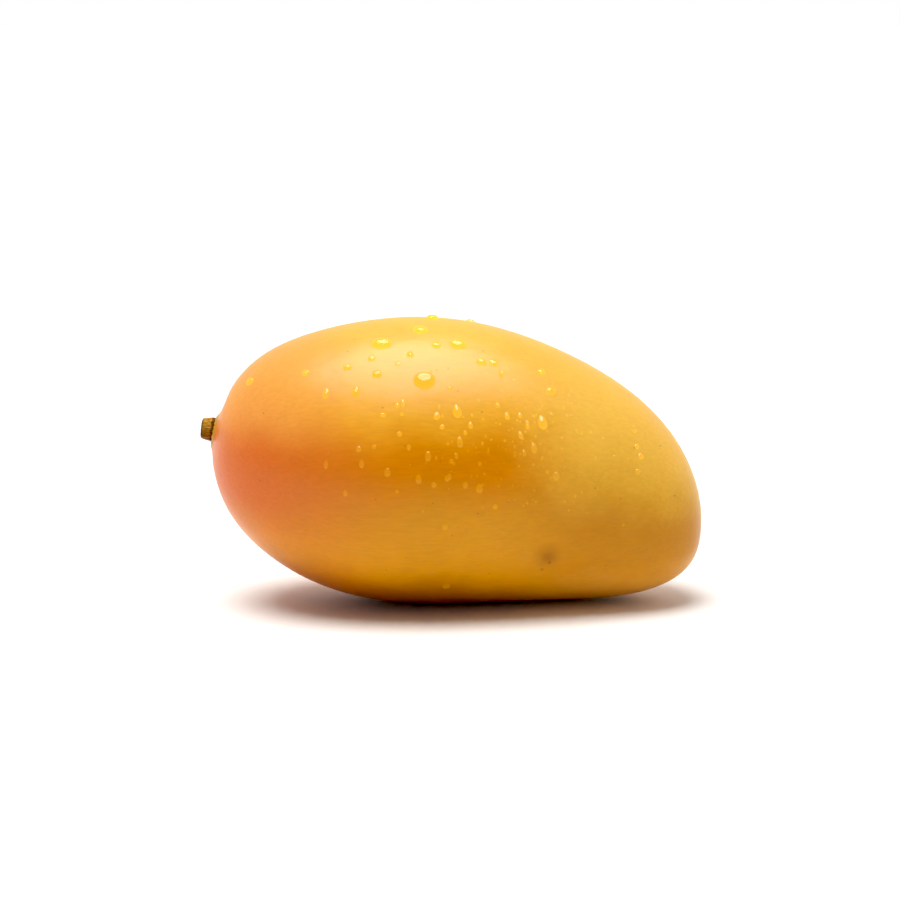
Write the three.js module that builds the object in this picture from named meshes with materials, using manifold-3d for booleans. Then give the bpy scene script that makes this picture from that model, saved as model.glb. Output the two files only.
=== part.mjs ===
// A whole ripe mango, wet with water drops, lying on a small flat of its skin with its short
// woody stem stub to the left. The fruit is drawn along its own axis, back up, from the stem pole
// to the nose, then rolled and tipped into the way it lies. Lengths are millimetres, angles are
// degrees. The finished part has +Z up and its origin in the middle of the flat that it rests on.
import * as THREE from "three";
import { mergeVertices } from "three/addons/utils/BufferGeometryUtils.js";
import Module from "manifold-3d";

const wasm = await Module();
wasm.setup();

// The fruit along its own axis. The turn angle is 0 at the stem pole and 180 at the nose, and
// fullness is a cosine series in it for the half depth from belly to back: its mean, how much
// fuller the stem end is, how much fuller both ends are, and finer terms.
const fruitLength = 120;
const fullness = [36.5, 4.5, 2.1, 0, 0.6, 0.53];
const cheekShare = 0.9; // half width across the cheeks, as a share of the half depth
const backBow = 2.09; // how far the back bows up between the poles
const noseDroop = 1.66; // how much of that bow falls away towards the nose
const cheekSquareness = 0.008; // how much fuller than an oval the cross-section is on its diagonals

// The way it lies: rolled with its belly towards the viewer, nose down, on a small flat.
const rollAngle = 32;
const noseDownAngle = 13.7;
const restPlace = [1.5, 0.3, -29.85]; // on the laid fruit, at its lowest skin
const flatDepth = 0.35;

// Places on the skin: how far along the axis from the stem pole, and how far above the horizon
// on the viewer's side.
const stemSeat = { along: 0.07, rise: -90 };
const stemShoulder = { along: 0.33, rise: 90 }; // the skin just above the stem
const stemChin = { along: 0.8, rise: -80 }; // the skin below it
const beakScar = { along: 83, rise: -23 };
const noseCheek = { along: 104, rise: 2 };
const noseChin = { along: 118.5, rise: -60 };

// Reliefs of the skin. A higher sharpness gives a flatter middle and a steeper rim.
const collar = { height: 1.6, radius: 3.6, sharpness: 3 }; // the skin's cone round the stem
const shoulderPress = { height: -0.4, radius: 2.8, sharpness: 2 };
const chinSwell = { height: 0.3, radius: 6, sharpness: 2 };
const scarDent = { height: -0.8, radius: 3.4, sharpness: 2 };
const nosePress = { height: -0.5, radius: 15, sharpness: 2 }; // the nose's flatter cheek
const noseSwell = { height: 0.6, radius: 7, sharpness: 2 }; // its fuller lower edge

// The stem stub: its foot stands in a shallow cup of the collar and its root in a hole below.
const stubTilt = 6; // above level
const stubLength = 1.75; // beyond the collar's middle
const stubFootRadius = 2.85;
const stubEndRadius = 2.35;
const cupDepth = 1.95;
const rootRadius = 1.5;
const rootDepth = 1.4; // below the cup's floor
const clearance = 0.3; // between the stub and the collar
const barkRidges = 7;
const barkRidgeHeight = 0.13;
const boreSides = 28;

// Water drops that stand out by themselves: place, width across and length down the slope.
const markedDrops = [
  { along: 45.6, rise: 44, width: 5.2, length: 4.7 },
  { along: 34.0, rise: 63, width: 5.1, length: 3.6 },
  { along: 42.2, rise: 73, width: 3.6, length: 3.2 },
  { along: 44.5, rise: 90, width: 3.4, length: 3.0 },
  { along: 53.9, rise: 102, width: 2.4, length: 2.2 },
  { along: 51.6, rise: 65, width: 4.2, length: 3.6 },
  { along: 46.6, rise: 63, width: 2.4, length: 2.2 },
  { along: 41.0, rise: 57, width: 1.8, length: 2.4 },
  { along: 27.5, rise: 50, width: 2.2, length: 1.8 },
  { along: 34.6, rise: 46, width: 2.4, length: 2.2 },
  { along: 57.8, rise: 57, width: 2.6, length: 2.0 },
  { along: 60.6, rise: 58, width: 2.4, length: 2.2 },
  { along: 30.7, rise: 38, width: 1.9, length: 3.6 },
  { along: 24.1, rise: 37, width: 1.7, length: 3.4 },
  { along: 54.5, rise: 33, width: 2.2, length: 3.8 },
  { along: 72.2, rise: 61, width: 2.0, length: 2.2 },
  { along: 75.2, rise: 52, width: 2.8, length: 2.4 },
  { along: 74.6, rise: 36, width: 2.4, length: 4.1 },
  { along: 56.7, rise: 21, width: 1.5, length: 3.1 },
  { along: 50.3, rise: 14, width: 1.5, length: 2.8 },
  { along: 73.9, rise: 24, width: 1.5, length: 3.1 },
  { along: 42.1, rise: 6, width: 1.5, length: 2.5 },
  { along: 49.4, rise: 5, width: 1.5, length: 2.5 },
  { along: 80.5, rise: 14, width: 1.7, length: 2.1 },
  { along: 5.9, rise: 53, width: 2.4, length: 2.3 },
  { along: 18.3, rise: 49, width: 1.9, length: 2.1 },
  { along: 99.7, rise: 40, width: 1.5, length: 1.9 },
  { along: 63.6, rise: 4, width: 1.7, length: 2.5 },
  { along: 62.1, rise: -46, width: 1.9, length: 1.9 },
];

// Smaller drops scattered round the middle of the wet side.
const scatter = { count: 26, along: 56, alongSpread: 30, rise: 20, riseSpread: 26 };
const scatterWidth = [1.1, 1.7];
const scatterStretch = [1.0, 1.9];
const scatterSeed = 2718;
const dropHeightShare = 0.24; // height over width
const dropSinkShare = 0.12; // how deep a drop's widest section lies in the skin, over its width
const dropSides = 8;
const dropRings = 5;

const ringCount = 48;
const ringCrowding = 1.3; // above 1, rings lie closer together towards the stem
const sideCount = 60;
const overlap = 10; // how far a cutting block reaches past what it cuts

const { cos, sin, PI } = Math;
const radians = THREE.MathUtils.degToRad;

// The matrix that rolls and tips the fruit and sets it on its flat.
const lay = new THREE.Matrix4()
  .makeTranslation(-restPlace[0], -restPlace[1], -restPlace[2] - flatDepth)
  .multiply(new THREE.Matrix4().makeRotationY(radians(noseDownAngle)))
  .multiply(new THREE.Matrix4().makeRotationX(-radians(rollAngle)));

// A point of the plain skin in the fruit's own frame. turn runs from pole to pole, round goes
// round the axis.
function plainSkin(turn, round) {
  const depth = fullness.reduce((sum, term, order) => sum + term * cos(order * turn), 0);
  const bow = backBow * (1 - cos(2 * turn)) + noseDroop * (cos(3 * turn) - cos(turn));
  const reach = depth * sin(turn) * (1 - cheekSquareness * cos(4 * round));
  return new THREE.Vector3(
    (-fruitLength / 2) * cos(turn),
    reach * cheekShare * cos(round),
    reach * sin(round) + bow,
  );
}

function skinNormal(turn, round) {
  const step = 1e-3;
  const away = Math.min(Math.max(turn, 2 * step), PI - 2 * step);
  const alongTurn = plainSkin(away + step, round).sub(plainSkin(away - step, round));
  const alongRound = plainSkin(away, round + step).sub(plainSkin(away, round - step));
  return alongRound.cross(alongTurn).normalize();
}

function anglesOf({ along, rise }) {
  const turn = Math.acos(1 - (2 * along) / fruitLength);
  return [turn, radians(180 - rise + rollAngle)];
}

// Each relief is a soft rise or dent round one place of the skin.
function softRelief(place, { height, radius, sharpness }) {
  const centre = plainSkin(...anglesOf(place));
  return (point) => height * Math.exp(-((point.distanceTo(centre) / radius) ** sharpness));
}
const reliefs = [
  softRelief(stemSeat, collar),
  softRelief(stemShoulder, shoulderPress),
  softRelief(stemChin, chinSwell),
  softRelief(beakScar, scarDent),
  softRelief(noseCheek, nosePress),
  softRelief(noseChin, noseSwell),
];

function skin(turn, round) {
  const point = plainSkin(turn, round);
  const height = reliefs.reduce((sum, relief) => sum + relief(point), 0);
  return point.addScaledVector(skinNormal(turn, round), height);
}

// Place, outward direction and downhill direction on the skin of the laid fruit.
function seatAt(place) {
  const angles = anglesOf(place);
  const point = skin(...angles).applyMatrix4(lay);
  const out = skinNormal(...angles).transformDirection(lay);
  const down = new THREE.Vector3(0, 0, -1).addScaledVector(out, out.z);
  return { point, out, down: down.normalize() };
}

function solidFrom(geometry) {
  geometry.deleteAttribute("normal");
  geometry.deleteAttribute("uv");
  const merged = mergeVertices(geometry, 1e-4);
  const mesh = new wasm.Mesh({
    numProp: 3,
    vertProperties: merged.getAttribute("position").array,
    triVerts: new Uint32Array(merged.index.array),
  });
  return new wasm.Manifold(mesh);
}

function geometryOf(solid) {
  const mesh = solid.getMesh();
  const geometry = new THREE.BufferGeometry();
  geometry.setAttribute("position", new THREE.BufferAttribute(mesh.vertProperties, 3));
  geometry.setIndex(new THREE.BufferAttribute(mesh.triVerts, 1));
  geometry.computeVertexNormals();
  return geometry;
}

// The skin as rings of points between two poles, laid as the fruit lies.
function fruitBody() {
  const points = [skin(0, 0)];
  for (let ring = 1; ring < ringCount; ring += 1) {
    const turn = PI * (ring / ringCount) ** ringCrowding;
    for (let side = 0; side < sideCount; side += 1) {
      points.push(skin(turn, (2 * PI * side) / sideCount));
    }
  }
  points.push(skin(PI, 0));
  const nose = points.length - 1;
  const triangles = [];
  for (let side = 0; side < sideCount; side += 1) {
    const next = (side + 1) % sideCount;
    triangles.push(0, 1 + next, 1 + side);
    const last = nose - sideCount;
    triangles.push(nose, last + side, last + next);
    for (let ring = 0; ring < ringCount - 2; ring += 1) {
      const near = 1 + ring * sideCount;
      const far = near + sideCount;
      triangles.push(near + side, near + next, far + side);
      triangles.push(near + next, far + next, far + side);
    }
  }
  const geometry = new THREE.BufferGeometry().setFromPoints(points);
  geometry.setIndex(triangles);
  return solidFrom(geometry.applyMatrix4(lay));
}

// Everything under the floor, which the resting flat is cut by.
function underFloor() {
  const size = 2 * fruitLength;
  const block = new THREE.BoxGeometry(size, size, overlap);
  return solidFrom(block.translate(0, 0, -overlap / 2));
}

// Repeatable draws between 0 and 1.
function seededDraws(seed) {
  const modulus = 2147483647;
  const multiplier = 16807;
  let state = seed;
  return () => {
    state = (state * multiplier) % modulus;
    return state / modulus;
  };
}

function scatteredDrops() {
  const draw = seededDraws(scatterSeed);
  const between = ([low, high]) => low + (high - low) * draw();
  const centred = () => draw() + draw() - 1;
  return Array.from({ length: scatter.count }, () => {
    const along = scatter.along + scatter.alongSpread * centred();
    const rise = scatter.rise + scatter.riseSpread * centred();
    const width = between(scatterWidth);
    return { along, rise, width, length: width * between(scatterStretch) };
  });
}

// One drop: a low round-backed dome with its root sunk in the skin.
function dropSolid(drop) {
  const { point, out, down } = seatAt(drop);
  const dome = new THREE.SphereGeometry(1, dropSides, dropRings);
  dome.scale(drop.length / 2, drop.width * (dropHeightShare + dropSinkShare), drop.width / 2);
  const centre = point.addScaledVector(out, -drop.width * dropSinkShare);
  const across = new THREE.Vector3().crossVectors(down, out);
  const seat = new THREE.Matrix4().makeBasis(down, out, across).setPosition(centre);
  return solidFrom(dome.applyMatrix4(seat));
}

// Where the stub stands, as a place, a turn from upright, and no change of size.
function stubSeat() {
  const tilt = radians(stubTilt);
  const direction = new THREE.Vector3(-cos(tilt), 0, sin(tilt));
  const turn = new THREE.Quaternion().setFromUnitVectors(THREE.Object3D.DEFAULT_UP, direction);
  return new THREE.Matrix4().compose(seatAt(stemSeat).point, turn, new THREE.Vector3(1, 1, 1));
}

// The cup in the collar and the plain round hole under it.
function stemSocket() {
  const bore = (radius, depth) => {
    const cylinder = new THREE.CylinderGeometry(radius, radius, depth + overlap, boreSides);
    cylinder.translate(0, (overlap - depth) / 2, 0);
    return solidFrom(cylinder.applyMatrix4(stubSeat()));
  };
  const cup = bore(stubFootRadius + clearance, cupDepth);
  return cup.add(bore(rootRadius + clearance, cupDepth + rootDepth));
}

// The stub is turned from a profile and then ridged lengthwise like dry bark.
function stubGeometry() {
  const foot = clearance - cupDepth;
  const profile = [
    [0, foot - rootDepth],
    [rootRadius, foot - rootDepth],
    [rootRadius, foot],
    [stubFootRadius, foot],
    [stubFootRadius, foot * 0.5],
    [stubEndRadius * 1.15, stubLength * 0.2],
    [stubEndRadius * 1.06, stubLength * 0.7],
    [stubEndRadius * 0.8, stubLength],
    [stubEndRadius * 0.4, stubLength * 0.92],
    [0, stubLength * 0.88],
  ].map(([radius, height]) => new THREE.Vector2(radius, height));
  const stub = new THREE.LatheGeometry(profile, 4 * barkRidges);
  const places = stub.getAttribute("position");
  for (let i = 0; i < places.count; i += 1) {
    const [x, y, z] = [places.getX(i), places.getY(i), places.getZ(i)];
    if (y > foot * 0.75) {
      const ridge = barkRidgeHeight * cos(barkRidges * Math.atan2(z, x));
      const swell = 1 + ridge / stubEndRadius;
      places.setXYZ(i, x * swell, y, z * swell);
    }
  }
  return stub.applyMatrix4(stubSeat());
}

const group = new THREE.Group();

const skinFinish = new THREE.MeshStandardMaterial({ color: 0xe59a2b, roughness: 0.42, metalness: 0 });
const barkFinish = new THREE.MeshStandardMaterial({ color: 0x5f4320, roughness: 0.85, metalness: 0 });

let fruitSolid = fruitBody().subtract(underFloor()).subtract(stemSocket());
for (const drop of [...markedDrops, ...scatteredDrops()]) {
  fruitSolid = fruitSolid.add(dropSolid(drop));
}
const fruit = new THREE.Mesh(geometryOf(fruitSolid), skinFinish);
fruit.name = "fruit";
group.add(fruit);

const stub = new THREE.Mesh(stubGeometry(), barkFinish);
stub.name = "stem_stub";
group.add(stub);

export default group;
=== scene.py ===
from math import acos, atan2, cos, exp, pi, radians, sin

import bpy
from mathutils import Matrix, Vector


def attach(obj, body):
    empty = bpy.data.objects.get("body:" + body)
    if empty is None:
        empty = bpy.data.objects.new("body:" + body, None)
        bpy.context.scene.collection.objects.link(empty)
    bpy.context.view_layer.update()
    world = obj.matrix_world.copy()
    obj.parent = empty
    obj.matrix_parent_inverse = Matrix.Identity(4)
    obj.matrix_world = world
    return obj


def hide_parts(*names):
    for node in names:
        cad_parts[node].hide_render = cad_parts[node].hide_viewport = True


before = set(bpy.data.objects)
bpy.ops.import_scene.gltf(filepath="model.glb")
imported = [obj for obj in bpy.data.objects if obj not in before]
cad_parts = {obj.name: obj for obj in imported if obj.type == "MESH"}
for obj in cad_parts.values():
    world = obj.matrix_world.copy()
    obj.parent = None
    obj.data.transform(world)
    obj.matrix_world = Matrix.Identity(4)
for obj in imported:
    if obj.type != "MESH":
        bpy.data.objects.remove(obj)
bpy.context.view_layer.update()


# The camera. A long lens looks at the fruit's side from ten degrees above level, aimed at its
# middle, so that a millimetre at the fruit is just over four picture points.
MM = 0.001
CAMERA_AIM = Vector((-3.67, -0.3, 36.96)) * MM
CAMERA_DISTANCE = 604 * MM
CAMERA_ELEVATION = radians(10)
CAMERA_LENS = 100
CAMERA_SENSOR = 36

towards_camera = Vector((0, -cos(CAMERA_ELEVATION), sin(CAMERA_ELEVATION)))
bpy.ops.object.camera_add(
    location=CAMERA_AIM + CAMERA_DISTANCE * towards_camera,
    rotation=(pi / 2 - CAMERA_ELEVATION, 0, 0),
)
camera = bpy.context.object
camera.name = "camera"
camera.data.lens = CAMERA_LENS
camera.data.sensor_width = CAMERA_SENSOR
bpy.context.scene.camera = camera


# The studio. A seamless white floor, a wide soft light overhead that stands a little to the left
# and front, a second one that only shows as the gleam on wax and water, and white surroundings
# that are bright behind and at the right and dim in front.
WHITE = (1, 1, 1, 1)
FLOOR_WHITE = (0.95, 0.95, 0.95, 1)
FLOOR_SIZE = 40
OVERHEAD_POWER = 3.2
OVERHEAD_WIDTH = radians(42)
OVERHEAD_TURN = (radians(3), radians(-9), 0)
OVERHEAD_TONE = (1.0, 0.985, 0.96)
GLEAM_POWER = 6.6
GLEAM_WIDTH = radians(52)
GLEAM_TURN = (radians(3), radians(3), 0)
GLEAM_TONE = (1.0, 0.965, 1.0)
BLACK_POINT = 0.012

# Between these directions, as shares of straight back and straight to the right, the
# surroundings grow brighter.
FRONT_TO_BACK = (-0.7, 0.5)
DIM_FRONT = 0.08
BRIGHT_BACK = 0.75
MIDDLE_TO_RIGHT = (0.2, 0.9)
BRIGHT_RIGHT = 0.3


def new_material(name):
    """A material with an empty node tree, its nodes, and a function that links two sockets."""
    material = bpy.data.materials.new(name)
    material.use_nodes = True
    material.node_tree.nodes.clear()
    return material, material.node_tree.nodes, material.node_tree.links.new


def add_node(nodes, kind, inputs=None, **settings):
    """A node of that kind, with its settings and the plain values of its inputs."""
    node = nodes.new(kind)
    for name, value in settings.items():
        setattr(node, name, value)
    for name, value in (inputs or {}).items():
        node.inputs[name].default_value = value
    return node


def joined(link, source, target):
    """Links a source socket to a target socket, or sets the target to a plain value."""
    if isinstance(source, bpy.types.NodeSocket):
        link(source, target)
    else:
        target.default_value = source


def math_node(nodes, link, operation, *values):
    node = add_node(nodes, "ShaderNodeMath", operation=operation)
    for value, socket in zip(values, node.inputs):
        joined(link, value, socket)
    return node.outputs["Value"]


def ramp_between(nodes, link, value, low, high, to_low=0.0, to_high=1.0):
    """A smooth step from one number to another as the value goes from low to high."""
    limits = {"From Min": low, "From Max": high, "To Min": to_low, "To Max": to_high}
    node = add_node(nodes, "ShaderNodeMapRange", limits, interpolation_type="SMOOTHSTEP")
    link(value, node.inputs["Value"])
    return node.outputs["Result"]


def coat(piece, material, shader):
    """Ends the material in that shader and puts it on the piece."""
    output = material.node_tree.nodes.new("ShaderNodeOutputMaterial")
    material.node_tree.links.new(shader, output.inputs["Surface"])
    piece.data.materials.append(material)


def soft_light(name, power, width, turn, tone):
    bpy.ops.object.light_add(type="SUN", rotation=turn, location=(0, 0, 1))
    light = bpy.context.object
    light.name = name
    light.data.energy = power
    light.data.angle = width
    light.data.color = tone
    return light


# The picture's own contrast: the faintest light is printed as black.
view = bpy.context.scene.view_settings
view.view_transform = "Standard"
view.use_curve_mapping = True
view.curve_mapping.black_level = (BLACK_POINT,) * 3

bpy.ops.mesh.primitive_plane_add(size=FLOOR_SIZE)
floor = bpy.context.object
floor.name = "floor"
paper, nodes, link = new_material("white_paper")
matt_white = add_node(nodes, "ShaderNodeBsdfDiffuse", {"Color": FLOOR_WHITE})
coat(floor, paper, matt_white.outputs["BSDF"])

overhead = soft_light(
    "overhead_softbox", OVERHEAD_POWER, OVERHEAD_WIDTH, OVERHEAD_TURN, OVERHEAD_TONE
)
overhead.visible_glossy = False
gleam = soft_light("gleam_softbox", GLEAM_POWER, GLEAM_WIDTH, GLEAM_TURN, GLEAM_TONE)
gleam.visible_diffuse = False

world = bpy.data.worlds.new("white_surroundings")
bpy.context.scene.world = world
world.use_nodes = True
nodes, link = world.node_tree.nodes, world.node_tree.links.new
nodes.clear()
direction = nodes.new("ShaderNodeSeparateXYZ")
link(nodes.new("ShaderNodeTexCoord").outputs["Generated"], direction.inputs["Vector"])
brightness = math_node(
    nodes,
    link,
    "ADD",
    ramp_between(nodes, link, direction.outputs["Y"], *FRONT_TO_BACK, DIM_FRONT, BRIGHT_BACK),
    ramp_between(nodes, link, direction.outputs["X"], *MIDDLE_TO_RIGHT, 0, BRIGHT_RIGHT),
)
lighting = add_node(nodes, "ShaderNodeBackground", {"Color": WHITE})
link(brightness, lighting.inputs["Strength"])
backdrop = add_node(nodes, "ShaderNodeBackground", {"Color": WHITE, "Strength": 1.0})
rays = nodes.new("ShaderNodeLightPath")
surroundings = nodes.new("ShaderNodeMixShader")
link(rays.outputs["Is Camera Ray"], surroundings.inputs["Fac"])
link(lighting.outputs["Background"], surroundings.inputs[1])
link(backdrop.outputs["Background"], surroundings.inputs[2])
link(surroundings.outputs["Shader"], nodes.new("ShaderNodeOutputWorld").inputs["Surface"])


# The fruit. One whole mango grown as a single piece, lofted ring by ring from the stem end to the
# nose along its own axis, back up. It is then rolled and tipped into the way it lies and pressed
# flat where it rests.
FRUIT_LENGTH = 120 * MM
FULLNESS = [value * MM for value in (36.5, 4.5, 2.1, 0, 0.6, 0.53)]
CHEEK_SHARE = 0.9
CHEEK_SQUARENESS = 0.008
BACK_BOW = 2.09 * MM
NOSE_DROOP = 1.66 * MM
ROLL = radians(32)
NOSE_DOWN = radians(13.7)
REST_PLACE = Vector((1.5, 0.3, -29.85)) * MM
FLAT_DEPTH = 0.35 * MM
RINGS = 150
RING_CROWDING = 1.3
RING_SIDES = 180
CUT_PRECISION = 1e-7
SHARP_EDGE = radians(50)

LAY = (
    Matrix.Translation(-REST_PLACE - Vector((0, 0, FLAT_DEPTH)))
    @ Matrix.Rotation(NOSE_DOWN, 4, "Y")
    @ Matrix.Rotation(-ROLL, 4, "X")
)


def ring_at(turn):
    """The centre of the skin's ring at that turn from the stem pole, its half width and depth."""
    depth = sum(term * cos(order * turn) for order, term in enumerate(FULLNESS)) * sin(turn)
    bow = BACK_BOW * (1 - cos(2 * turn)) + NOSE_DROOP * (cos(3 * turn) - cos(turn))
    return Vector((-FRUIT_LENGTH / 2 * cos(turn), 0, bow)), CHEEK_SHARE * depth, depth


def fuller_at(section):
    """How much fuller than an oval a ring is, at that turn round it."""
    return 1 - CHEEK_SQUARENESS * cos(4 * section)


def skin_place(along, rise):
    """Where the plain skin is, in the fruit's own frame, from millimetres along and degrees up."""
    centre, half_width, half_depth = ring_at(acos(1 - 2 * along * MM / FRUIT_LENGTH))
    section = radians(180 - rise) + ROLL
    across = Vector((0, half_width * cos(section), half_depth * sin(section)))
    return centre + fuller_at(section) * across


def only(piece, mode="OBJECT"):
    """Makes one piece the only selected one, in that mode."""
    bpy.ops.object.select_all(action="DESELECT")
    piece.select_set(True)
    bpy.context.view_layer.objects.active = piece
    bpy.ops.object.mode_set(mode=mode)


def extrude_ring(shift, growth, centre):
    """Extrudes the selected ring of edges, scales it about its centre and moves it on."""
    bpy.ops.mesh.extrude_edges_move()
    bpy.ops.transform.resize(value=growth, center_override=centre)
    bpy.ops.transform.translate(value=shift)


def close_ring(shift):
    """Closes the selected ring of edges with a fan that meets in one point."""
    bpy.ops.mesh.extrude_edges_move()
    bpy.ops.mesh.merge(type="CENTER")
    bpy.ops.transform.translate(value=shift)


def lofted(name, sides, first_pole, rings, last_pole):
    """A closed form along X, through rings given by their centre, half width and half depth."""
    centre, half_width, half_depth = rings[0]
    bpy.ops.mesh.primitive_circle_add(
        vertices=sides, radius=1, location=centre, rotation=(0, pi / 2, 0)
    )
    form = bpy.context.object
    form.name = name
    bpy.ops.object.transform_apply(location=True, rotation=True, scale=True)
    only(form, "EDIT")
    bpy.ops.transform.resize(value=(1, half_width, half_depth), center_override=centre)
    close_ring(first_pole - centre)
    bpy.ops.mesh.select_all(action="SELECT")
    bpy.ops.mesh.select_non_manifold(extend=False)
    for next_centre, next_width, next_depth in rings[1:]:
        growth = (1, next_width / half_width, next_depth / half_depth)
        extrude_ring(next_centre - centre, growth, centre)
        centre, half_width, half_depth = next_centre, next_width, next_depth
    close_ring(last_pole - centre)
    bpy.ops.mesh.select_all(action="SELECT")
    bpy.ops.mesh.normals_make_consistent(inside=False)
    bpy.ops.object.mode_set(mode="OBJECT")
    return form


# The rings stand closer at the stem end, where the collar is.
bpy.ops.object.select_all(action="DESELECT")
turns = [pi * (ring / RINGS) ** RING_CROWDING for ring in range(RINGS + 1)]
stem_pole, *skin_rings, nose_pole = [ring_at(turn) for turn in turns]
skin = lofted("mango_skin", RING_SIDES, stem_pole[0], skin_rings, nose_pole[0])
for point in skin.data.vertices:
    share = max(-1, min(1, -2 * point.co.x / FRUIT_LENGTH))
    across = point.co - ring_at(acos(share))[0]
    section = atan2(across.z, across.y / CHEEK_SHARE)
    point.co += (fuller_at(section) - 1) * across

# The reliefs of the skin, all pushed out or in along it and given by their seat, height, radius and
# sharpness: the cone of the collar round the stem, the flatter skin above the stem and the fuller
# skin below, the dent of the beak scar on the belly side with its point, and the nose's flatter
# cheek and fuller lower edge. The stem's cup is pressed into the collar.
CUP_DEPTH = 1.95 * MM
CUP_RADIUS = 3.15 * MM
CUP_WALL = 0.35 * MM
STEM_SEAT = skin_place(0.07, -90)
RELIEFS = (
    (STEM_SEAT, 1.6 * MM, 3.6 * MM, 3),
    (skin_place(0.33, 90), -0.4 * MM, 2.8 * MM, 2),
    (skin_place(0.8, -80), 0.3 * MM, 6 * MM, 2),
    (skin_place(83, -23), -0.8 * MM, 3.4 * MM, 2),
    (skin_place(84.1, -27), -0.3 * MM, 0.8 * MM, 2),
    (skin_place(104, 2), -0.5 * MM, 15 * MM, 2),
    (skin_place(118.5, -60), 0.6 * MM, 7 * MM, 2),
)


def relief_at(place):
    """How far the skin stands out there. A higher sharpness gives a steeper rim."""
    return sum(
        height * exp(-(((place - seat).length / radius) ** sharpness))
        for seat, height, radius, sharpness in RELIEFS
    )


def step_in(distance, edge, width):
    """1 inside the edge, falling smoothly to 0 over the width beyond it."""
    share = min(max((distance - edge) / width, 0), 1)
    return 1 - share * share * (3 - 2 * share)


outward = [point.normal.copy() for point in skin.data.vertices]
for point, out in zip(skin.data.vertices, outward):
    cup = CUP_DEPTH * step_in((point.co - STEM_SEAT).length, CUP_RADIUS, CUP_WALL)
    point.co += (relief_at(point.co) - cup) * out

skin.matrix_world = LAY
only(skin)
bpy.ops.object.transform_apply(location=True, rotation=True, scale=True)
only(skin, "EDIT")
bpy.ops.mesh.select_all(action="SELECT")
bpy.ops.mesh.bisect(
    plane_co=(0, 0, 0),
    plane_no=(0, 0, 1),
    clear_inner=True,
    use_fill=True,
    threshold=CUT_PRECISION,
)
bpy.ops.object.mode_set(mode="OBJECT")
bpy.ops.object.shade_smooth_by_angle(angle=SHARP_EDGE)
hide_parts("fruit")
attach(skin, "root")


# The fruit's skin. Smooth waxy peel, yellow along the back and deep gold round the middle, with a
# red blush at the stem end and an olive cast at the nose, thinly streaked along the fruit and
# dotted with breathing pores. Light and shade are painted into its colour in places: painted shade
# darkens the underside nearest the floor and the dent round the beak scar, painted bounce light
# lightens the underside of the nose, a painted sheen pales the stem end's upper shoulder, and under
# the drops painted light stands in for the light they gather.
BACK_YELLOW = (0.88, 0.47, 0.05, 1)
UPPER_YELLOW = (0.83, 0.40, 0.02, 1)
MIDDLE_GOLD = (0.67, 0.225, 0.002, 1)
BELLY_GOLD = (0.69, 0.295, 0.007, 1)
# The underside's darker brown is painted shade, nearest the floor where the fruit meets its shadow.
UNDER_SHADE_BROWN = (0.42, 0.125, 0.002, 1)
BLUSH_RED = (0.73, 0.165, 0.030, 1)
# The paler apricot on the stem end's upper shoulder is a painted sheen.
SHOULDER_SHEEN_APRICOT = (0.83, 0.345, 0.08, 1)
NOSE_OLIVE = (0.56, 0.22, 0.002, 1)
NOSE_YELLOW = (0.81, 0.46, 0.055, 1)
# The lighter gold of the nose's underside is painted bounce light from the floor.
NOSE_BOUNCE_GOLD = (0.72, 0.32, 0.04, 1)
COLLAR_OLIVE = (0.50, 0.28, 0.02, 1)
PORE_BROWN = (0.30, 0.10, 0.01, 1)
PORE_PALE = (0.98, 0.62, 0.16, 1)
SCAR_BROWN_AND_SHADE = (0.26, 0.07, 0.0, 1)
# Both tones of the skin under the drops are raised past the dry skin's as painted light that the
# drops gather.
WET_YELLOW_AND_CAUSTIC = (1.02, 0.62, 0.045, 1)
CAUSTIC_GOLD = (1.2, 0.62, 0.05, 1)

# Where each tone begins and where it is full, in millimetres: heights above the floor, reaches
# from the part's middle towards the nose, with the stem's side below zero.
BELLY_HEIGHTS = (1, 13)
MIDDLE_HEIGHTS = (24, 36)
UPPER_HEIGHTS = (38, 52)
BACK_HEIGHTS = (52, 66)
# The tilt lifts the painted shade of the underside higher towards the stem end.
BELLY_TILT = 0.12
BORDER_SWAY = 8
NOSE_REACHES = (4, 32)
NOSE_STRENGTH = 0.9
NOSE_BOUNCE_HEIGHTS = (14, 5)
NOSE_YELLOW_HEIGHTS = (27, 46)
NOSE_YELLOW_TILT = 0.2
BLUSH_REACHES = (-6, -54)
BLUSH_FADES_ABOVE, BLUSH_LEFT_ABOVE = (38, 58), 0.2
BLUSH_FADES_BELOW, BLUSH_LEFT_BELOW = (32, 12), 0.32
SHOULDER_REACHES = (-20, -48)
SHOULDER_HEIGHTS = (37, 50)
SHOULDER_STRENGTH = 0.6
COLLAR_RADII = (5.8, 4.2)
COLLAR_STRENGTH = 0.85

# The grain, the pores, and the marks of the beak scar with the painted shade of its dent, in
# millimetres and shares.
GRAIN_RANGE = (0.3, 0.7)
STREAK_TONES = (0.95, 1.035)
MOTTLE_TONES = (0.98, 1.02)
PORES = (
    {"per_mm": 0.30, "radius": 0.085, "share": 0.5, "tone": PORE_BROWN, "strength": 0.65},
    {"per_mm": 0.55, "radius": 0.10, "share": 0.55, "tone": PORE_PALE, "strength": 0.22},
)
PORE_CORE = 0.4
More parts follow.
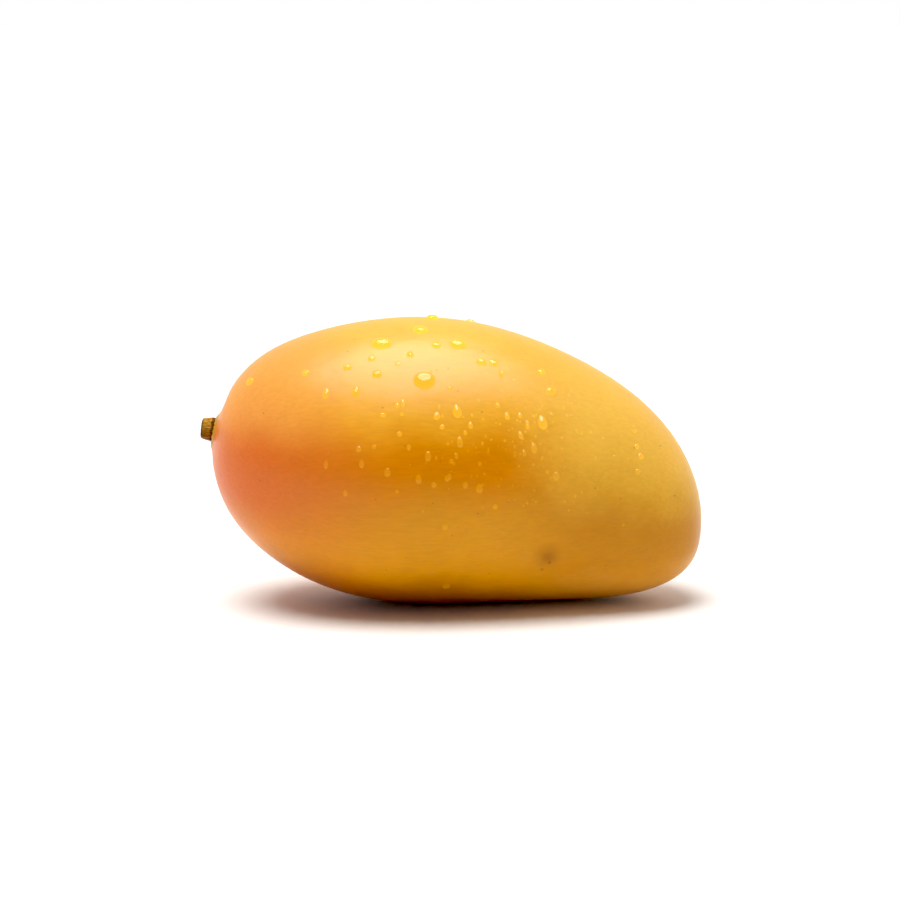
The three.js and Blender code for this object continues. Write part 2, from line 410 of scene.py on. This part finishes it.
# The two wide marks darken the dent round the beak scar as painted shade; the two small ones are
# the scar's own dark point and a brown speck below it.
SCAR_MARKS_AND_SHADE = (
    {"along": 83.2, "rise": -24, "radii": (4.6, 0.8), "strength": 0.26},
    {"along": 83.7, "rise": -25.6, "radii": (2.3, 0.3), "strength": 0.4},
    {"along": 84.3, "rise": -28.3, "radii": (0.5, 0.1), "strength": 0.85},
    {"along": 83.0, "rise": -32.8, "radii": (0.7, 0.1), "strength": 0.5},
)
PITS_PER_MM = 2.2
PIT_RELIEF = 0.012
STREAK_RELIEF = 0.02
MOTTLE_RELIEF = 0.35
PEEL_ROUGHNESS = (0.31, 0.37)


def blended(nodes, link, share, under, over):
    """One colour laid over another by a share."""
    node = add_node(nodes, "ShaderNodeMix", data_type="RGBA")
    joined(link, share, node.inputs["Factor"])
    joined(link, under, node.inputs["A"])
    joined(link, over, node.inputs["B"])
    return node.outputs["Result"]


def toned(nodes, link, colour, tone):
    """The colour made lighter or darker by a factor."""
    node = add_node(nodes, "ShaderNodeVectorMath", operation="SCALE")
    link(colour, node.inputs[0])
    link(tone, node.inputs["Scale"])
    return node.outputs["Vector"]


def distance_from(nodes, link, vector, place):
    node = add_node(nodes, "ShaderNodeVectorMath", {1: place}, operation="DISTANCE")
    link(vector, node.inputs[0])
    return node.outputs["Value"]


def raised(nodes, link, relief):
    """The normal of a surface with that relief, in millimetres."""
    node = add_node(nodes, "ShaderNodeBump", {"Strength": 1.0, "Distance": MM})
    link(relief, node.inputs["Height"])
    return node.outputs["Normal"]


def streaked_grain():
    """The grain that the peel and the stem share: fine fibres along X with a mottle beneath."""
    group = bpy.data.node_groups.new("streaked_grain", "ShaderNodeTree")
    face = group.interface
    face.new_socket("Vector", in_out="INPUT", socket_type="NodeSocketVector")
    for name in ("Fibres per mm", "Fibre Stretch", "Mottles per mm"):
        face.new_socket(name, in_out="INPUT", socket_type="NodeSocketFloat")
    for name in ("Fibre", "Mottle"):
        face.new_socket(name, in_out="OUTPUT", socket_type="NodeSocketFloat")
    nodes, link = group.nodes, group.links.new
    inside = nodes.new("NodeGroupInput")
    outside = nodes.new("NodeGroupOutput")
    squeeze = add_node(nodes, "ShaderNodeCombineXYZ", {"Y": 1, "Z": 1})
    thinner = math_node(nodes, link, "DIVIDE", 1.0, inside.outputs["Fibre Stretch"])
    link(thinner, squeeze.inputs["X"])
    stretched = add_node(nodes, "ShaderNodeVectorMath", operation="MULTIPLY")
    link(inside.outputs["Vector"], stretched.inputs[0])
    link(squeeze.outputs["Vector"], stretched.inputs[1])
    fibre = add_node(nodes, "ShaderNodeTexNoise", {"Detail": 4.0, "Roughness": 0.6})
    link(stretched.outputs["Vector"], fibre.inputs["Vector"])
    link(inside.outputs["Fibres per mm"], fibre.inputs["Scale"])
    mottle = add_node(nodes, "ShaderNodeTexNoise", {"Detail": 3.0, "Roughness": 0.55})
    link(inside.outputs["Vector"], mottle.inputs["Vector"])
    link(inside.outputs["Mottles per mm"], mottle.inputs["Scale"])
    link(fibre.outputs["Fac"], outside.inputs["Fibre"])
    link(mottle.outputs["Fac"], outside.inputs["Mottle"])
    return group


GRAIN = streaked_grain()


def grain_over(nodes, link, vector, fibres_per_mm, stretch, mottles_per_mm):
    """The fibre and the mottle of the shared grain, over places in millimetres."""
    grain = nodes.new("ShaderNodeGroup")
    grain.node_tree = GRAIN
    link(vector, grain.inputs["Vector"])
    grain.inputs["Fibres per mm"].default_value = fibres_per_mm
    grain.inputs["Fibre Stretch"].default_value = stretch
    grain.inputs["Mottles per mm"].default_value = mottles_per_mm
    return grain.outputs["Fibre"], grain.outputs["Mottle"]


def in_millimetres(nodes, link, seat=Matrix()):
    """Places in millimetres, in the frame that the seat puts into the part's own."""
    to_seat = seat.inverted()
    mapping = add_node(
        nodes,
        "ShaderNodeMapping",
        {
            "Location": to_seat.translation / MM,
            "Rotation": to_seat.to_euler("XYZ"),
            "Scale": (1 / MM, 1 / MM, 1 / MM),
        },
    )
    link(nodes.new("ShaderNodeTexCoord").outputs["Object"], mapping.inputs["Vector"])
    return mapping.outputs["Vector"]


def on_skin(along, rise):
    """The nearest spot of the dressed skin to a place on the plain one, and its outward way."""
    _, spot, out, _ = skin.closest_point_on_mesh(LAY @ skin_place(along, rise))
    return spot, out


peel, nodes, link = new_material("waxy_peel")
own = in_millimetres(nodes, link, LAY)
place = in_millimetres(nodes, link)
fibre, mottle = grain_over(
    nodes, link, place, fibres_per_mm=1.5, stretch=7, mottles_per_mm=0.07
)
axes = nodes.new("ShaderNodeSeparateXYZ")
link(place, axes.inputs["Vector"])

sway = math_node(nodes, link, "MULTIPLY_ADD", mottle, BORDER_SWAY, -BORDER_SWAY / 2)
height = math_node(nodes, link, "ADD", axes.outputs["Z"], sway)
reach = math_node(nodes, link, "ADD", axes.outputs["X"], sway)
# Painted shade darkens the underside near the floor, reaching higher towards the stem end, below
# the belly's gold.
belly_height = math_node(nodes, link, "MULTIPLY_ADD", reach, BELLY_TILT, height)
colour = blended(
    nodes, link, ramp_between(nodes, link, belly_height, *BELLY_HEIGHTS), UNDER_SHADE_BROWN, BELLY_GOLD
)
for heights, tone in (
    (MIDDLE_HEIGHTS, MIDDLE_GOLD),
    (UPPER_HEIGHTS, UPPER_YELLOW),
    (BACK_HEIGHTS, BACK_YELLOW),
):
    colour = blended(nodes, link, ramp_between(nodes, link, height, *heights), colour, tone)

# Painted bounce light from the floor lightens the nose's underside.
bounce_share = ramp_between(nodes, link, height, *NOSE_BOUNCE_HEIGHTS)
nose_tone = blended(nodes, link, bounce_share, NOSE_OLIVE, NOSE_BOUNCE_GOLD)
nose_height = math_node(nodes, link, "MULTIPLY_ADD", reach, NOSE_YELLOW_TILT, height)
yellow_share = ramp_between(nodes, link, nose_height, *NOSE_YELLOW_HEIGHTS)
nose_tone = blended(nodes, link, yellow_share, nose_tone, NOSE_YELLOW)
nose_share = ramp_between(nodes, link, reach, *NOSE_REACHES, 0, NOSE_STRENGTH)
colour = blended(nodes, link, nose_share, colour, nose_tone)

blush_share = math_node(
    nodes,
    link,
    "MULTIPLY",
    ramp_between(nodes, link, height, *BLUSH_FADES_ABOVE, 1, BLUSH_LEFT_ABOVE),
    ramp_between(nodes, link, height, *BLUSH_FADES_BELOW, 1, BLUSH_LEFT_BELOW),
)
blush_reach = ramp_between(nodes, link, reach, *BLUSH_REACHES)
blush_share = math_node(nodes, link, "MULTIPLY", blush_share, blush_reach)
colour = blended(nodes, link, blush_share, colour, BLUSH_RED)
# A painted sheen pales the upper shoulder at the stem end.
sheen_share = math_node(
    nodes,
    link,
    "MULTIPLY",
    ramp_between(nodes, link, reach, *SHOULDER_REACHES, 0, SHOULDER_STRENGTH),
    ramp_between(nodes, link, height, *SHOULDER_HEIGHTS),
)
colour = blended(nodes, link, sheen_share, colour, SHOULDER_SHEEN_APRICOT)

streaks = ramp_between(nodes, link, fibre, *GRAIN_RANGE, *STREAK_TONES)
shades = ramp_between(nodes, link, mottle, *GRAIN_RANGE, *MOTTLE_TONES)
colour = toned(nodes, link, colour, math_node(nodes, link, "MULTIPLY", streaks, shades))
for pores in PORES:
    cells = add_node(nodes, "ShaderNodeTexVoronoi", {"Scale": pores["per_mm"]})
    link(own, cells.inputs["Vector"])
    rim, core = pores["radius"], pores["radius"] * PORE_CORE
    dot = ramp_between(nodes, link, cells.outputs["Distance"], rim, core, 0, pores["strength"])
    pick = nodes.new("ShaderNodeSeparateColor")
    link(cells.outputs["Color"], pick.inputs["Color"])
    picked = math_node(nodes, link, "LESS_THAN", pick.outputs["Red"], pores["share"])
    dot = math_node(nodes, link, "MULTIPLY", dot, picked)
    colour = blended(nodes, link, dot, colour, pores["tone"])

from_stem = distance_from(nodes, link, own, STEM_SEAT / MM)
collar_share = ramp_between(nodes, link, from_stem, *COLLAR_RADII, 0, COLLAR_STRENGTH)
colour = blended(nodes, link, collar_share, colour, COLLAR_OLIVE)
# Painted shade in the scar's dent, then the scar's own brown point and speck.
for mark in SCAR_MARKS_AND_SHADE:
    mark_spot = LAY.inverted() @ on_skin(mark["along"], mark["rise"])[0]
    from_mark = distance_from(nodes, link, own, mark_spot / MM)
    mark_share = ramp_between(nodes, link, from_mark, *mark["radii"], 0, mark["strength"])
    colour = blended(nodes, link, mark_share, colour, SCAR_BROWN_AND_SHADE)

pits = add_node(nodes, "ShaderNodeTexNoise", {"Scale": PITS_PER_MM, "Detail": 2.0})
link(own, pits.inputs["Vector"])
relief = math_node(nodes, link, "MULTIPLY", pits.outputs["Fac"], PIT_RELIEF)
relief = math_node(nodes, link, "MULTIPLY_ADD", fibre, STREAK_RELIEF, relief)
relief = math_node(nodes, link, "MULTIPLY_ADD", mottle, MOTTLE_RELIEF, relief)
roughness = ramp_between(nodes, link, mottle, *GRAIN_RANGE, *PEEL_ROUGHNESS)
waxy = add_node(
    nodes,
    "ShaderNodeBsdfPrincipled",
    {
        "IOR": 1.45,
        "Subsurface Weight": 0.12,
        "Subsurface Radius": (1.0, 0.35, 0.1),
        "Subsurface Scale": 3 * MM,
        "Specular IOR Level": 0.27,
    },
)
link(colour, waxy.inputs["Base Color"])
link(roughness, waxy.inputs["Roughness"])
link(raised(nodes, link, relief), waxy.inputs["Normal"])

# Under a water drop the wax has no gloss of its own, and the light that the drop gathers is painted
# into the skin beneath it: a deeper yellow, brightened past the dry skin, where it is nearly level,
# and a painted caustic of light gold where it slopes, fainter where the skin is steep. A slope here
# is 1 where the skin is level and 0 where it is upright.
GATHERING_SLOPES, GATHERING_STRENGTH = (0.85, 0.45), 0.6
STEEP_SLOPES, STEEP_LEFT = (0.52, 0.3), 0.4
LEVEL_SLOPES, LEVEL_STRENGTH = (0.5, 0.85), 0.75

facing = nodes.new("ShaderNodeSeparateXYZ")
link(nodes.new("ShaderNodeNewGeometry").outputs["Normal"], facing.inputs["Vector"])
upward = facing.outputs["Z"]
gathered = math_node(
    nodes,
    link,
    "MULTIPLY",
    ramp_between(nodes, link, upward, *GATHERING_SLOPES, 0, GATHERING_STRENGTH),
    ramp_between(nodes, link, upward, *STEEP_SLOPES, 1, STEEP_LEFT),
)
wet_colour = blended(nodes, link, gathered, colour, CAUSTIC_GOLD)
deepened = ramp_between(nodes, link, upward, *LEVEL_SLOPES, 0, LEVEL_STRENGTH)
wet_colour = blended(nodes, link, deepened, wet_colour, WET_YELLOW_AND_CAUSTIC)
wet = nodes.new("ShaderNodeBsdfDiffuse")
link(wet_colour, wet.inputs["Color"])
rays = nodes.new("ShaderNodeLightPath")
dry_or_wet = nodes.new("ShaderNodeMixShader")
link(rays.outputs["Is Transmission Ray"], dry_or_wet.inputs["Fac"])
link(waxy.outputs["BSDF"], dry_or_wet.inputs[1])
link(wet.outputs["BSDF"], dry_or_wet.inputs[2])
coat(skin, peel, dry_or_wet.outputs["Shader"])


# The stem stub. The dry end of the stalk where the fruit was cut off, ribbed lengthwise, with a
# worn dark rim round a sunken pith. Its foot stands in the cup of the collar and its root reaches
# into the skin below.
STUB_TILT = radians(6)
STUB_LENGTH = 1.75 * MM
STUB_FOOT_RADIUS = 2.85 * MM
STUB_END_RADIUS = 2.35 * MM
STUB_CLEARANCE = 0.3 * MM
ROOT_RADIUS = 1.5 * MM
ROOT_DEPTH = 1.4 * MM
STUB_SIDES = 70
BARK_RIDGES = 7
BARK_RIDGE_HEIGHT = 0.13 * MM
FINE_RIDGES = 23
FINE_RIDGE_HEIGHT = 0.045 * MM
FINE_RIDGE_TWIST = 0.9 / MM
STUB_FOOT = STUB_CLEARANCE - CUP_DEPTH
RIDGES_FROM = 0.9 * STUB_FOOT

stub_direction = Vector((-cos(STUB_TILT), 0, sin(STUB_TILT)))
stub_place = LAY @ (STEM_SEAT - Vector((relief_at(STEM_SEAT), 0, 0)))
stub_turn = stub_direction.to_track_quat("X", "Z").to_matrix().to_4x4()
STUB_SEAT = Matrix.Translation(stub_place) @ stub_turn

stub_profile = (
    (STUB_FOOT - ROOT_DEPTH, ROOT_RADIUS),
    (STUB_FOOT, ROOT_RADIUS),
    (STUB_FOOT, STUB_FOOT_RADIUS * 0.96),
    (STUB_FOOT * 0.75, STUB_FOOT_RADIUS * 0.99),
    (STUB_FOOT * 0.5, STUB_FOOT_RADIUS),
    (STUB_FOOT * 0.2, STUB_FOOT_RADIUS * 0.97),
    (STUB_LENGTH * 0.15, STUB_END_RADIUS * 1.14),
    (STUB_LENGTH * 0.5, STUB_END_RADIUS * 1.07),
    (STUB_LENGTH * 0.75, STUB_END_RADIUS * 1.05),
    (STUB_LENGTH * 0.92, STUB_END_RADIUS * 0.97),
    (STUB_LENGTH, STUB_END_RADIUS * 0.8),
    (STUB_LENGTH * 0.97, STUB_END_RADIUS * 0.62),
    (STUB_LENGTH * 0.93, STUB_END_RADIUS * 0.4),
    (STUB_LENGTH * 0.9, STUB_END_RADIUS * 0.16),
)
stub_rings = [(Vector((along, 0, 0)), radius, radius) for along, radius in stub_profile]
stub = lofted("stem_bark", STUB_SIDES, stub_rings[0][0], stub_rings, stub_rings[-1][0])
for point in stub.data.vertices:
    if point.co.x > RIDGES_FROM:
        turn = atan2(point.co.z, point.co.y)
        ridge = BARK_RIDGE_HEIGHT * cos(BARK_RIDGES * turn)
        ridge += FINE_RIDGE_HEIGHT * cos(FINE_RIDGES * turn + FINE_RIDGE_TWIST * point.co.x)
        swell = 1 + ridge / STUB_END_RADIUS
        point.co.y *= swell
        point.co.z *= swell
stub.matrix_world = STUB_SEAT
only(stub)
bpy.ops.object.transform_apply(location=True, rotation=True, scale=True)
rounding = stub.modifiers.new("rounding", "SUBSURF")
rounding.levels = 1
bpy.ops.object.modifier_apply(modifier=rounding.name)
bpy.ops.object.shade_smooth_by_angle(angle=SHARP_EDGE)
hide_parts("stem_stub")
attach(stub, "root")

BARK_BROWN = (0.25, 0.09, 0.007, 1)
BARK_GOLD = (0.52, 0.27, 0.028, 1)
BARK_PINK = (0.36, 0.15, 0.11, 1)
RIM_DARK = (0.085, 0.048, 0.014, 1)
JOINT_DARK = (0.15, 0.03, 0.002, 1)
PITH_TAN = (0.30, 0.19, 0.09, 1)

# Where each tone begins and where it is full, in millimetres along the stub and above its axis.
STUB_END = STUB_LENGTH / MM
GOLD_HEIGHTS = (-1.0, 1.6)
GOLD_MOTTLES, GOLD_STRENGTHS = (0.35, 0.6), (0.25, 1.0)
PINK_HEIGHTS, PINK_STRENGTH = (-1.2, -2.2), 0.8
RIM_PLACES, RIM_STRENGTH = (STUB_END * 0.55, STUB_END * 0.95), 0.9
RIM_SWAY = 0.8
JOINT_PLACES, JOINT_STRENGTH = (-0.5, -0.8), 0.9
PITH_PLACES = (STUB_END * 0.78, STUB_END * 0.82)
PITH_RADII, PITH_STRENGTH = (1.45, 1.1), 0.8
BARK_TONES = (0.55, 1.35)
BARK_ROUGHNESS = (0.92, 0.7)
BARK_RELIEF = 0.16

bark, nodes, link = new_material("dry_bark")
own = in_millimetres(nodes, link, STUB_SEAT)
fibre, mottle = grain_over(nodes, link, own, fibres_per_mm=3.2, stretch=4, mottles_per_mm=0.8)
axes = nodes.new("ShaderNodeSeparateXYZ")
link(own, axes.inputs["Vector"])
height = axes.outputs["Z"]
gold_share = math_node(
    nodes,
    link,
    "MULTIPLY",
    ramp_between(nodes, link, mottle, *GOLD_MOTTLES, *GOLD_STRENGTHS),
    ramp_between(nodes, link, height, *GOLD_HEIGHTS),
)
colour = blended(nodes, link, gold_share, BARK_BROWN, BARK_GOLD)
pink_share = ramp_between(nodes, link, height, *PINK_HEIGHTS, 0, PINK_STRENGTH)
colour = blended(nodes, link, pink_share, colour, BARK_PINK)
sway = math_node(nodes, link, "MULTIPLY_ADD", mottle, RIM_SWAY, -RIM_SWAY / 2)
along = math_node(nodes, link, "ADD", axes.outputs["X"], sway)
rim_share = ramp_between(nodes, link, along, *RIM_PLACES, 0, RIM_STRENGTH)
colour = blended(nodes, link, rim_share, colour, RIM_DARK)
joint_share = ramp_between(nodes, link, along, *JOINT_PLACES, 0, JOINT_STRENGTH)
colour = blended(nodes, link, joint_share, colour, JOINT_DARK)
across = add_node(nodes, "ShaderNodeVectorMath", {1: (0, 1, 1)}, operation="MULTIPLY")
link(own, across.inputs[0])
off_axis = distance_from(nodes, link, across.outputs["Vector"], (0, 0, 0))
pith_share = math_node(
    nodes,
    link,
    "MULTIPLY",
    ramp_between(nodes, link, axes.outputs["X"], *PITH_PLACES),
    ramp_between(nodes, link, off_axis, *PITH_RADII, 0, PITH_STRENGTH),
)
colour = blended(nodes, link, pith_share, colour, PITH_TAN)
fibre_tone = ramp_between(nodes, link, fibre, *GRAIN_RANGE, *BARK_TONES)
roughness = ramp_between(nodes, link, fibre, *GRAIN_RANGE, *BARK_ROUGHNESS)
relief = math_node(nodes, link, "MULTIPLY", fibre, BARK_RELIEF)
dry = add_node(nodes, "ShaderNodeBsdfPrincipled", {"Specular IOR Level": 0.15})
link(toned(nodes, link, colour, fibre_tone), dry.inputs["Base Color"])
link(roughness, dry.inputs["Roughness"])
link(raised(nodes, link, relief), dry.inputs["Normal"])
coat(stub, bark, dry.outputs["BSDF"])


# The water drops. Clear water standing on the wax: round beads where the skin is nearly level and
# thin-topped running drops where it is steep, each sunk a little so that it meets the skin all
# round. One of each kind is modelled and copied to every place.
DROP_SEGMENTS, DROP_RINGS = 28, 16
DROP_HEIGHT_SHARE = 0.24
DROP_SINK_SHARE = 0.12
UPHILL_SHORTER = 0.2
THINNING = 1.3
RUNNER_STRETCH = 1.25
CLEAR_PASSING = (0.95, 0.95, 0.95, 1)

# Each drop's millimetres along and degrees up, then its width and its length in millimetres.
MARKED_DROPS = (
    (45.6, 44, 5.2, 4.7),
    (34.0, 63, 5.1, 3.6),
    (42.2, 73, 3.6, 3.2),
    (44.5, 90, 3.4, 3.0),
    (53.9, 102, 2.4, 2.2),
    (51.6, 65, 4.2, 3.6),
    (46.6, 63, 2.4, 2.2),
    (41.0, 57, 1.8, 2.4),
    (27.5, 50, 2.2, 1.8),
    (34.6, 46, 2.4, 2.2),
    (57.8, 57, 2.6, 2.0),
    (60.6, 58, 2.4, 2.2),
    (30.7, 38, 1.9, 3.6),
    (24.1, 37, 1.7, 3.4),
    (54.5, 33, 2.2, 3.8),
    (72.2, 61, 2.0, 2.2),
    (75.2, 52, 2.8, 2.4),
    (74.6, 36, 2.4, 4.1),
    (56.7, 21, 1.5, 3.1),
    (50.3, 14, 1.5, 2.8),
    (73.9, 24, 1.5, 3.1),
    (42.1, 6, 1.5, 2.5),
    (49.4, 5, 1.5, 2.5),
    (80.5, 14, 1.7, 2.1),
    (5.9, 53, 2.4, 2.3),
    (18.3, 49, 1.9, 2.1),
    (99.7, 40, 1.5, 1.9),
    (63.6, 4, 1.7, 2.5),
    (62.1, -46, 1.9, 1.9),
)
SMALLEST_DROPS = (
    (32.5, 54.5, 1.7, 2.0),
    (38.7, 51.5, 1.2, 1.3),
    (63.0, 53.5, 1.7, 1.4),
    (51.7, 42.2, 1.2, 1.1),
    (41.9, 33.8, 1.0, 2.3),
    (42.8, 21.0, 1.2, 1.4),
    (70.2, 28.0, 1.2, 2.1),
    (28.0, 5.2, 1.0, 2.3),
    (35.9, 7.8, 1.2, 2.3),
    (98.3, 43.8, 1.2, 1.5),
    (97.1, 52.2, 1.2, 1.0),
    (99.7, 30.2, 1.6, 1.5),
    (58.0, -13.0, 1.4, 1.5),
    (38.1, 28.0, 1.4, 1.2),
)
SCATTER_SEED = 2718
SCATTER_COUNT = 26
SCATTER_ALONG, SCATTER_ALONG_SPREAD = 56, 30
SCATTER_RISE, SCATTER_RISE_SPREAD = 20, 26
SCATTER_WIDTHS = (0.85, 1.35)
SCATTER_STRETCHES = (1.0, 1.9)
DRAW_STEP, DRAW_RANGE = 16807, 2147483647


def seeded_draws(seed):
    """Repeatable draws between 0 and 1."""
    state = seed
    while True:
        state = state * DRAW_STEP % DRAW_RANGE
        yield state / DRAW_RANGE


def near(middle, spread, draws):
    """A number near the middle, seldom far from it and never further off than the spread."""
    return middle + spread * (next(draws) + next(draws) - 1)


def between(low, high, draw):
    return low + (high - low) * draw


def scattered_drops():
    draws = seeded_draws(SCATTER_SEED)
    for _ in range(SCATTER_COUNT):
        along = near(SCATTER_ALONG, SCATTER_ALONG_SPREAD, draws)
        rise = near(SCATTER_RISE, SCATTER_RISE_SPREAD, draws)
        width = between(*SCATTER_WIDTHS, next(draws))
        stretch = between(*SCATTER_STRETCHES, next(draws))
        yield along, rise, width, width * stretch


def drop_shape(name, thin_top, flatness):
    """A drop of unit size: X down the slope, Y out of the skin, with its upper end drawn thin.

    A flatness of 2 is round and a higher one has a flatter crown.
    """
    bpy.ops.mesh.primitive_uv_sphere_add(segments=DROP_SEGMENTS, ring_count=DROP_RINGS, radius=1)
    shape = bpy.context.object
    shape.name = name
    for point in shape.data.vertices:
        if point.co.y > 0:
            off_crown = min(1, point.co.x**2 + point.co.z**2) ** 0.5
            point.co.y = (1 - off_crown**flatness) ** (1 / flatness)
        thinness = 1 - thin_top * (0.5 - 0.5 * point.co.x) ** THINNING
        point.co.y *= thinness
        point.co.z *= thinness
        point.co.x *= 1 + UPHILL_SHORTER * (1 if point.co.x > 0 else -1)
        point.co.x -= UPHILL_SHORTER
    widest = max(point.co.z for point in shape.data.vertices)
    for point in shape.data.vertices:
        point.co.y /= widest
        point.co.z /= widest
    return shape


def seat_on_skin(along, rise):
    """A frame on the dressed skin: X down the slope, Y out of the skin, Z across."""
    spot, out = on_skin(along, rise)
    down = (out * out.z - Vector((0, 0, 1))).normalized()
    turn = Matrix((down, out, down.cross(out))).transposed().to_4x4()
    return Matrix.Translation(spot) @ turn


def placed_copy(shape, along, rise, width, length):
    """A copy of the drop shape, of that size in millimetres, standing on the skin."""
    copy = shape.copy()
    copy.data = shape.data.copy()
    bpy.context.collection.objects.link(copy)
    tall = width * (DROP_HEIGHT_SHARE + DROP_SINK_SHARE)
    size = Matrix.Diagonal((length / 2 * MM, tall * MM, width / 2 * MM, 1))
    sink = Matrix.Translation((0, -width * DROP_SINK_SHARE * MM, 0))
    copy.matrix_world = seat_on_skin(along, rise) @ sink @ size
    return copy


def made_one(pieces, name):
    """Joins the pieces into one object at the origin, with that name."""
    only(pieces[0])
    for piece in pieces:
        piece.select_set(True)
    bpy.ops.object.join()
    bpy.ops.object.transform_apply(location=True, rotation=True, scale=True)
    bpy.ops.object.shade_smooth()
    whole = bpy.context.object
    whole.name = name
    return whole


bead = drop_shape("bead", thin_top=0.12, flatness=3)
runner = drop_shape("runner", thin_top=0.72, flatness=2)
drops = []
for along, rise, width, length in (*MARKED_DROPS, *scattered_drops(), *SMALLEST_DROPS):
    shape = runner if length > RUNNER_STRETCH * width else bead
    drops.append(placed_copy(shape, along, rise, width, length))
water_drops = made_one(drops, "water_drops")
for shape in (bead, runner):
    bpy.data.objects.remove(shape)
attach(water_drops, "root")

water, nodes, link = new_material("clear_water")
refracting = add_node(
    nodes,
    "ShaderNodeBsdfPrincipled",
    {"Base Color": WHITE, "Transmission Weight": 1.0, "IOR": 1.33, "Roughness": 0.0},
)
rays = nodes.new("ShaderNodeLightPath")
lit_through = math_node(
    nodes, link, "MAXIMUM", rays.outputs["Is Shadow Ray"], rays.outputs["Is Diffuse Ray"]
)
passing = add_node(nodes, "ShaderNodeBsdfTransparent", {"Color": CLEAR_PASSING})
seen_or_lit = nodes.new("ShaderNodeMixShader")
link(lit_through, seen_or_lit.inputs["Fac"])
link(refracting.outputs["BSDF"], seen_or_lit.inputs[1])
link(passing.outputs["BSDF"], seen_or_lit.inputs[2])
coat(water_drops, water, seen_or_lit.outputs["Shader"])


# The mist. Droplets under a millimetre across, left between the larger ones where the side was
# sprayed, densest a little towards the nose. They are the same water, and most are small.
MIST_SEED = 1618
MIST_COUNT = 150
MIST_ALONG, MIST_ALONG_SPREAD = 72, 32
MIST_RISE, MIST_RISE_SPREAD = 24, 38
MIST_WIDTHS = (0.3, 0.7)
MIST_STRETCHES = (1.0, 2.4)
DROPLET_CUT = -0.2

bpy.ops.mesh.primitive_ico_sphere_add(subdivisions=2, radius=1)
droplet = bpy.context.object
droplet.name = "droplet"
only(droplet, "EDIT")
bpy.ops.mesh.select_all(action="SELECT")
bpy.ops.mesh.bisect(
    plane_co=(0, DROPLET_CUT, 0), plane_no=(0, 1, 0), clear_inner=True, use_fill=True
)
bpy.ops.object.mode_set(mode="OBJECT")
draws = seeded_draws(MIST_SEED)
droplets = []
for _ in range(MIST_COUNT):
    along = near(MIST_ALONG, MIST_ALONG_SPREAD, draws)
    rise = near(MIST_RISE, MIST_RISE_SPREAD, draws)
    width = between(*MIST_WIDTHS, next(draws) ** 2)
    stretch = between(*MIST_STRETCHES, next(draws) ** 2)
    droplets.append(placed_copy(droplet, along, rise, width, width * stretch))
water_mist = made_one(droplets, "water_mist")
bpy.data.objects.remove(droplet)
water_mist.data.materials.append(water)
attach(water_mist, "root")

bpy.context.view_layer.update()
